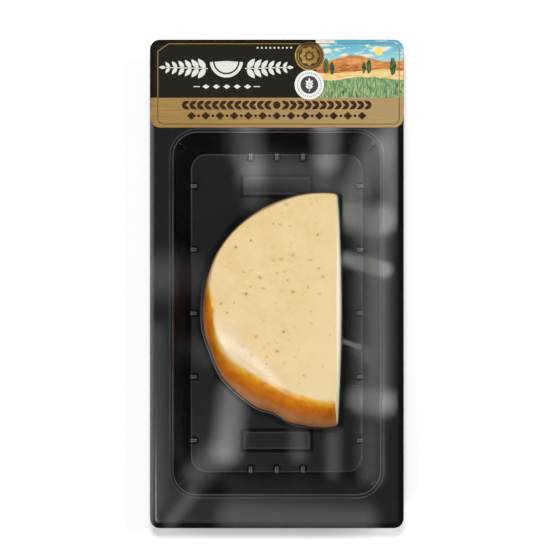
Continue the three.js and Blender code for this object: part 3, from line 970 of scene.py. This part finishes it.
# The painting's hills from the furthest to the nearest: the ridge's level, swell, length and start,
# the brush's stretch, its two colours and its seed. Five poplars stand behind the last one, each with
# its place, foot and height.
HILLS = [
    ((112.6, 1.6, 5.5, 0.8), (0.4, 1.4), (196, 122, 66), (222, 158, 92), 1.1),
    ((108.8, 1.3, 7.5, 3.9), (0.5, 1.6), (168, 92, 44), (203, 140, 74), 2.3),
    ((106.2, 0.9, 9.0, 2.0), (0.3, 2.0), (226, 186, 112), (240, 214, 156), 3.7),
    ((102.6, 0.8, 6.0, 0.3), (1.8, 0.45), (96, 138, 98), (158, 180, 124), 4.9),
]
POPLARS = [(24.5, 104.5, 8.5), (27.6, 104.2, 7.2), (43.5, 105, 6.2), (46, 104.8, 7.6), (58, 104, 9.5)]
SUN_X, SUN_Y, SUN_RADIUS = 51, 116.3, 2.2

under_label = mould(LABEL_ABOVE_TRAY, BEYOND_PACK)
outline_block = lofted("outline", [rounded(LABEL, level) for level in (CHEESE_TOP, FLOOR_TOP)])
label = cut(mould(LABEL_ABOVE_TRAY + PAPER, BEYOND_PACK), [under_label], "DIFFERENCE")
cut(named(label, "printed_label"), [outline_block], "INTERSECT")
smooth(label)

varnish = Finish("varnished_print", IOR=1.5, Specular_IOR_Level=0.2)
across, up = varnish.x / MM, varnish.y / MM


def below_ridge(base, swell, length, start):
    """1 below a wavy ridge, drawn with an unsteady brush."""
    wobble = 1.6 * (varnish.noise(3.5 * MM, detail=3, seed=start) - 0.5)
    line = base + swell * (across / length + start).sine() + wobble
    return (line - up).between(-0.12, 0.12)


def daubs(share_of_length, first, second, seed):
    """Brush strokes of two colours, long along the hills or upright."""
    strokes = varnish.noise(1.5 * MM, detail=3, seed=seed, place=varnish.stretched(*share_of_length, 1))
    return varnish.mix(strokes.between(0.42, 0.6), first, second)


def with_hill(picture, ridge, stretch, first, second, seed):
    """A picture with one more hill painted over it."""
    return varnish.mix(below_ridge(*ridge), picture, daubs(stretch, linear(*first), linear(*second), seed))


def poplar(x, foot, height):
    """1 inside an upright tree with a ragged edge."""
    ragged = 0.5 * (varnish.noise(0.8 * MM, seed=x / 10) - 0.5)
    middle = foot + height / 2
    inside = ((across - x) / (height * 0.17)) ** 2 + ((up - middle) / (height / 2)) ** 2
    return 1 - (inside**0.5 + ragged).between(0.85, 1.0)


sky = varnish.mix(((up - 108) / 14).between(0, 1), linear(168, 212, 210), linear(84, 172, 200))
cloud_shape = varnish.noise(4 * MM, detail=4, seed=5.2, place=varnish.stretched(0.45, 1.5, 1))
painting = varnish.mix(cloud_shape.between(0.5, 0.6), sky, linear(224, 228, 208))
sun = ((across - SUN_X) ** 2 + (up - SUN_Y) ** 2) ** 0.5 - SUN_RADIUS
painting = varnish.mix(1 - sun.between(-0.1, 0.1), painting, linear(247, 214, 122))
*far_hills, near_hill = HILLS
for hill in far_hills:
    painting = with_hill(painting, *hill)
for tree_x, foot, height in POPLARS:
    leaves = daubs((1.5, 0.7), linear(46, 72, 52), linear(92, 108, 62), tree_x)
    painting = varnish.mix(poplar(tree_x, foot, height), painting, leaves)
painting = with_hill(painting, *near_hill)
grass = varnish.noise(1.2 * MM, detail=4, seed=6.1, place=varnish.stretched(2.4, 0.4, 1))
blades = grass.between(0.56, 0.64) * (102 - up).between(0, 4)
painting = varnish.mix(blades, painting, linear(58, 92, 66))
stubble = varnish.noise(1.4 * MM, detail=4, seed=8.8, place=varnish.stretched(2, 0.5, 1)).between(0.6, 0.66)
painting = varnish.mix(stubble * (101 - up).between(0, 3), painting, linear(222, 168, 88))

checks = (across * 7.4).sine() * (up * 7.4).sine()
black_field = varnish.mix(checks.between(0.2, 0.9) * 0.5, linear(28, 25, 19), linear(50, 46, 38))
black_field = varnish.mix(varnish.noise(3 * MM, detail=4) * 0.35, black_field, linear(24, 20, 13))
# The gold is painted lighter towards the right and in brushed streaks: a painted reflection and painted
# sheen on the gold ink.
brushed_sheen = varnish.noise(2 * MM, detail=3, seed=2.5, place=varnish.stretched(0.08, 2.2, 1))
gold = varnish.mix(((across + 60) / 120).between(0, 1), linear(150, 117, 66), linear(168, 141, 97))
gold = varnish.mix(brushed_sheen.between(0.35, 0.65) * 0.3, gold, linear(188, 158, 104))

in_painting = (across - PAINTING_LEFT).between(-0.04, 0.04)
in_band = (BAND_TOP - up).between(-0.04, 0.04)
frame_line = varnish.past(*(side * MM for side in FRAME)) / MM
(chamfer_x, chamfer_y), (way_x, way_y) = FRAME_CHAMFER_AT, FRAME_CHAMFER_WAY
chamfer = (across - chamfer_x) * way_x + (up - chamfer_y) * way_y
frame_line = 1 - abs(frame_line.above(chamfer)).between(0.16, 0.3)
frame_colour = varnish.mix(in_band, linear(150, 122, 62), linear(92, 66, 32))
print_colour = varnish.mix(in_band, varnish.mix(in_painting, black_field, painting), gold)
print_colour = varnish.mix(frame_line * 0.9, print_colour, frame_colour)
waves = varnish.bump(varnish.noise(14 * MM), 0.03 * MM)
varnish.feed(
    Base_Color=print_colour,
    Roughness=0.13 + 0.07 * varnish.noise(9 * MM, detail=3),
    Normal=varnish.bump(varnish.noise(0.6 * MM), 0.006 * MM, under=waves),
)
varnish.on(label)

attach(label, "root")
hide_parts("label")

# ---- Ornament ------------------------------------------------------------------------------------
# Raised ink on the label: a cheese between two sprigs of oregano over a row of lozenges in cream,
# and two rows of leaves and lozenges in brown on the gold band. It has no words.

INK = 0.04 * MM

# Places in millimetres: the cheese's middle, the two sprigs' stalks and the rows with their pitches.
CHEESE_AT, CHEESE_ARC = (-25.2, 111.4), (184, 356)
SPRIG_STALKS, SPRIG_Y = ((-1, -34.5), (1, -15.9)), 107.6
SPRIG_LENGTH, SPRIG_PAIRS, SPRIG_LEAF = 21.5, 6, 6.4
SPRIG_RISE, SPRIG_SPREAD = 0.6, math.radians(52)
LOZENGES_AT, LOZENGE_PITCH = (-25, 98.6), 5.2
DOTS_AT, DOT_PITCH = (-9.6, 118), 2.1
LEAVES_Y, LEAVES_START, LEAF_PITCH, LEAF_LEAN = 89.35, 47.5, 3.75, math.radians(28)
DIAMONDS_Y, DIAMOND_PITCH = 84.0, 7.1


def label_level(x, y):
    """The label's upper face at a place, where it follows the tray's lip."""
    width, length, corner, middle = PACK
    past_x, past_y = abs(x) - (width / 2 - corner), abs(y - middle) - (length / 2 - corner)
    outside = math.hypot(max(past_x, 0), max(past_y, 0)) + min(max(past_x, past_y), 0) - corner
    return LABEL_TOP - LIP_DROP * max(0, 1 + outside / LIP_WIDTH) ** 2


def leaf(x, y, length, width, angle):
    """A pointed leaf from its stalk at a place."""
    half = 7
    points = []
    for step in range(2 * half):
        share = step / half if step < half else 2 - step / half
        side = 1 if step < half else -1
        off = side * width / 2 * math.sin(math.pi * share) ** 0.85 * (1.15 - 0.4 * share)
        forward, left = turned(length * share, off, angle)
        points.append((x + forward, y + left))
    return points


def lozenge(x, y, width, height):
    return [(x + width / 2, y), (x, y + height / 2), (x - width / 2, y), (x, y - height / 2)]


def disc(x, y, radius, steps):
    return [at_angle(x, y, radius, 2 * math.pi * step / steps) for step in range(steps)]


def dash(start, stop, width):
    """A straight stroke between two places."""
    way = Vector((stop[0] - start[0], stop[1] - start[1])).normalized() * width / 2
    return [
        (start[0] + way.y, start[1] - way.x),
        (stop[0] + way.y, stop[1] - way.x),
        (stop[0] - way.y, stop[1] + way.x),
        (start[0] - way.y, start[1] + way.x),
    ]


def arc_band(x, y, inner, outer, start, stop, steps=18):
    """A curved band between two radii."""
    turns = [math.radians(start + (stop - start) * step / steps) for step in range(steps + 1)]
    outer_rim = [at_angle(x, y, outer, turn) for turn in turns]
    return outer_rim + [at_angle(x, y, inner, turn) for turn in reversed(turns)]


def heading(way, angle):
    """An angle from the way to the right, or its mirror image from the way to the left."""
    return angle if way > 0 else math.pi - angle


def sprig(way, x):
    """A stem with pairs of leaves that shrink towards its tip."""
    shapes = [dash((x, SPRIG_Y), (x + way * SPRIG_LENGTH, SPRIG_Y + SPRIG_RISE), 0.5)]
    for pair in range(SPRIG_PAIRS):
        share = (pair + 0.3) / SPRIG_PAIRS
        leaf_x, leaf_y = x + way * SPRIG_LENGTH * share, SPRIG_Y + SPRIG_RISE * share
        size = SPRIG_LEAF * (1 - 0.5 * share)
        for side in (1, -1):
            shapes.append(leaf(leaf_x, leaf_y, size, size * 0.48, heading(way, side * SPRIG_SPREAD)))
    tip_x, tip_y = x + way * SPRIG_LENGTH * 0.97, SPRIG_Y + SPRIG_RISE
    shapes.append(leaf(tip_x, tip_y, SPRIG_LEAF * 0.55, SPRIG_LEAF * 0.26, heading(way, 0)))
    return shapes


def inked(name, shapes, base=0.0, thickness=INK):
    """Flat shapes in millimetres, laid on the label as one raised piece."""
    levels = (base - thickness / 2, base + thickness)
    made = []
    for shape in shapes:
        outline = [(x * MM, y * MM) for x, y in shape]
        rings = [[(x, y, label_level(x, y) + level) for x, y in outline] for level in levels]
        made.append(lofted(name, rings))
    piece = joined(made, name)
    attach(piece, "root")
    return piece


cream_shapes = [arc_band(*CHEESE_AT, *radii, *CHEESE_ARC) for radii in ((6.7, 8.3), (0.05, 5.9))]
for way, stalk in SPRIG_STALKS:
    cream_shapes += sprig(way, stalk)
x, y = LOZENGES_AT
cream_shapes += [lozenge(x + LOZENGE_PITCH * place, y, 3.6, 2.3) for place in range(-2, 3)]
cream_shapes += [dash((x + side * 13.4, y), (x + side * 16.6, y), 0.45) for side in (-1, 1)]
x, y = DOTS_AT
cream_shapes += [disc(x + DOT_PITCH * place, y, 0.48, 10) for place in range(9)]
cream = Finish("worn_cream_ink", Roughness=0.4)
wear = cream.noise(0.7 * MM, detail=5, seed=1.2).between(0.6, 0.7)
cream.feed(Base_Color=cream.mix(wear * 0.55, linear(226, 223, 214), linear(120, 114, 100)))
cream.on(inked("cream_ornament", cream_shapes))

brown_shapes = []
for side in (-1, 1):
    for place in range(12):
        stalk = side * (LEAVES_START - LEAF_PITCH * place)
        for lean in (1, -1):
            angle = heading(-side, LEAF_LEAN * lean)
            brown_shapes.append(leaf(stalk, LEAVES_Y + 0.12 * lean, 4.3, 2.0, angle))
brown_shapes += [disc(0, LEAVES_Y, 1.9, 24)]
brown_shapes += [lozenge(DIAMOND_PITCH * place, DIAMONDS_Y, 4.6, 4.0) for place in range(-6, 7)]
brown_shapes += [disc(DIAMOND_PITCH * (place + 0.5), DIAMONDS_Y, 0.75, 14) for place in range(-6, 6)]
brown = Finish("brown_ink", Roughness=0.32, Specular_IOR_Level=0.2)
blots = brown.noise(0.9 * MM, detail=3).between(0.4, 0.7)
brown.feed(Base_Color=brown.mix(blots, linear(46, 27, 13), linear(68, 46, 26)))
brown.on(inked("brown_ornament", brown_shapes))

# ---- Seals ---------------------------------------------------------------------------------------
# Two round stickers: an embossed bronze foil disc with plain rings round a rosette, and a white
# paper disc with a ring of dots and a sprig.

BRONZE_AT, WHITE_AT, SEAL_RADIUS = (16.35, 114.0), (16.25, 99.5), 7.35
SEAL_STEPS, PETALS, DOTS, DOT_RING = 112, 8, 36, 5.9
SEAL_PAPER, SPRIG_BASE = 0.1 * MM, 0.14 * MM

# The bronze disc's section from its rim to its middle: radius and height in millimetres, and petals.
BRONZE_SECTION = [
    (SEAL_RADIUS, -0.02, 0),
    (SEAL_RADIUS, 0.12, 0),
    (7.2, 0.19, 0),
    (6.75, 0.19, 0),
    (6.6, 0.11, 0),
    (5.95, 0.11, 0),
    (5.85, 0.16, 0),
    (5.55, 0.16, 0),
    (5.45, 0.09, 0),
    (4.6, 0.09, 0.07),
    (4.2, 0.2, 0.12),
    (2.6, 0.22, 0.2),
    (2.2, 0.1, 0.1),
    (1.5, 0.1, 0),
    (1.3, 0.2, 0),
    (0.4, 0.24, 0),
]

rings = []
for radius, height, petal in BRONZE_SECTION:
    ring = []
    for step in range(SEAL_STEPS):
        turn = 2 * math.pi * step / SEAL_STEPS
        reach = radius * (1 + petal * math.cos(PETALS * turn))
        x, y = (part * MM for part in at_angle(*BRONZE_AT, reach, turn))
        ring.append((x, y, label_level(x, y) + height * MM))
    rings.append(ring)
bronze_seal = lofted("bronze_seal", rings)
smooth(bronze_seal, 50)
bronze = Finish("bronze_foil", Metallic=0.2, Roughness=0.36)
tarnish = bronze.noise(1.8 * MM, detail=4).between(0.35, 0.7)
# Painted light and shade: the raised relief is painted light and the low parts dark, and the raised parts
# are painted lighter still towards the lower left.
raised = ((bronze.z - LABEL_TOP) / MM).between(0.1, 0.19)
lit = ((BRONZE_AT[0] - bronze.x / MM) * 0.8 - (bronze.y / MM - BRONZE_AT[1]) * 0.3).between(-3, 7)
foil = bronze.mix(raised, linear(78, 58, 26), linear(160, 126, 62))
foil = bronze.mix(lit * 0.7 * raised, foil, linear(220, 186, 92))
bronze.feed(
    Base_Color=bronze.mix(tarnish * 0.4, foil, linear(84, 62, 30)),
    Roughness=0.3 + 0.15 * tarnish,
    Normal=bronze.bump(bronze.noise(0.3 * MM, detail=3), 0.02 * MM),
)
bronze.on(bronze_seal)
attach(bronze_seal, "root")

white = Finish("white_paper_seal", Roughness=0.42)
white.feed(Base_Color=white.mix(white.noise(2 * MM, detail=3), linear(226, 226, 222), linear(240, 240, 237)))
white.on(inked("white_seal", [disc(*WHITE_AT, SEAL_RADIUS, 96)], thickness=SEAL_PAPER))
seal_shapes = [disc(*WHITE_AT, 4.45, 64)]
for place in disc(*WHITE_AT, DOT_RING, DOTS):
    seal_shapes.append(disc(*place, 0.26, 8))
dark = Finish("seal_ink", Roughness=0.4)
dark.feed(Base_Color=dark.mix(dark.noise(0.8 * MM, detail=3), linear(44, 46, 44), linear(70, 72, 68)))
dark.on(inked("seal_ink", seal_shapes, base=SEAL_PAPER))
x, y = WHITE_AT
stem = [dash((x, y - 3.4), (x, y + 1.2), 0.34)]
for rise in (-2.0, -0.7, 0.6):
    for side in (1, -1):
        stem.append(leaf(x, y + rise, 2.5, 1.1, math.pi / 2 - side * math.radians(50)))
stem.append(leaf(x, y + 1.1, 2.4, 1.2, math.pi / 2))
white.on(inked("seal_sprig", stem, base=SPRIG_BASE))

# ---- Stage ---------------------------------------------------------------------------------------
# The pack lies on white paper that glows a little, under soft lamps at its sides and above, and a
# camera with a long lens looks straight down on it.

CAMERA_X, CAMERA_Y, CAMERA_ABOVE_FLANGE = 0.1 * MM, 3.45 * MM, 1.539

deselect()
bpy.ops.mesh.primitive_plane_add(size=6)
floor = named(bpy.context.object, "floor")
paper = Finish("white_paper", Roughness=0.9, IOR=1.2)
paper.shader.inputs["Emission Color"].default_value = (1, 1, 1, 1)
paper.shader.inputs["Emission Strength"].default_value = 0.22
paper.feed(Base_Color=paper.mix(paper.noise(40 * MM), linear(248, 248, 248), linear(252, 252, 252)))
paper.on(floor)
floor.visible_glossy = False


def lamp(name, place, size, radiance, aim=(0, 0, 0), mirrored=False):
    """A soft rectangular lamp that faces a point. It lights the scene, or only shows in glossy surfaces."""
    deselect()
    bpy.ops.object.light_add(type="AREA", location=place)
    made = bpy.context.object
    made.name = name
    made.data.shape = "RECTANGLE"
    made.data.size, made.data.size_y = size
    made.data.energy = radiance * math.pi * size[0] * size[1]
    made.visible_camera = False
    made.visible_diffuse, made.visible_glossy = not mirrored, mirrored
    made.rotation_euler = (Vector(aim) - Vector(place)).to_track_quat("-Z", "Y").to_euler()


lamp("key_lamp", (-0.05, 0.5, 1.55), (0.3, 0.3), 42)
lamp("left_lamp", (-1.25, 0.15, 0.95), (0.5, 1.2), 3.6)
lamp("foot_lamp", (-0.6, -1.0, 1.1), (0.7, 0.5), 5)
lamp("right_lamp", (1.25, 0.3, 0.95), (0.6, 0.9), 8)

# Two cards show only in gloss: a dim one over the whole pack and a bright one off its lower left.
lamp("dim_card", (0, 0, 0.52), (0.5, 0.66), 0.5, mirrored=True)
lamp("bright_card", (-0.19, -0.19, 0.52), (0.11, 0.11), 26, aim=(-0.02, -0.04, 0), mirrored=True)

world = bpy.context.scene.world or bpy.data.worlds.new("studio")
bpy.context.scene.world = world
world.use_nodes = True
world.node_tree.nodes["Background"].inputs["Color"].default_value = (1, 1, 1, 1)
world.node_tree.nodes["Background"].inputs["Strength"].default_value = 0.06

camera = bpy.data.objects.new("camera", bpy.data.cameras.new("camera"))
bpy.context.scene.collection.objects.link(camera)
camera.location = (CAMERA_X, CAMERA_Y, FLANGE_TOP + CAMERA_ABOVE_FLANGE)
camera.data.lens, camera.data.sensor_width = 200, 36
bpy.context.scene.camera = camera
bpy.context.scene.view_settings.view_transform = "Standard"
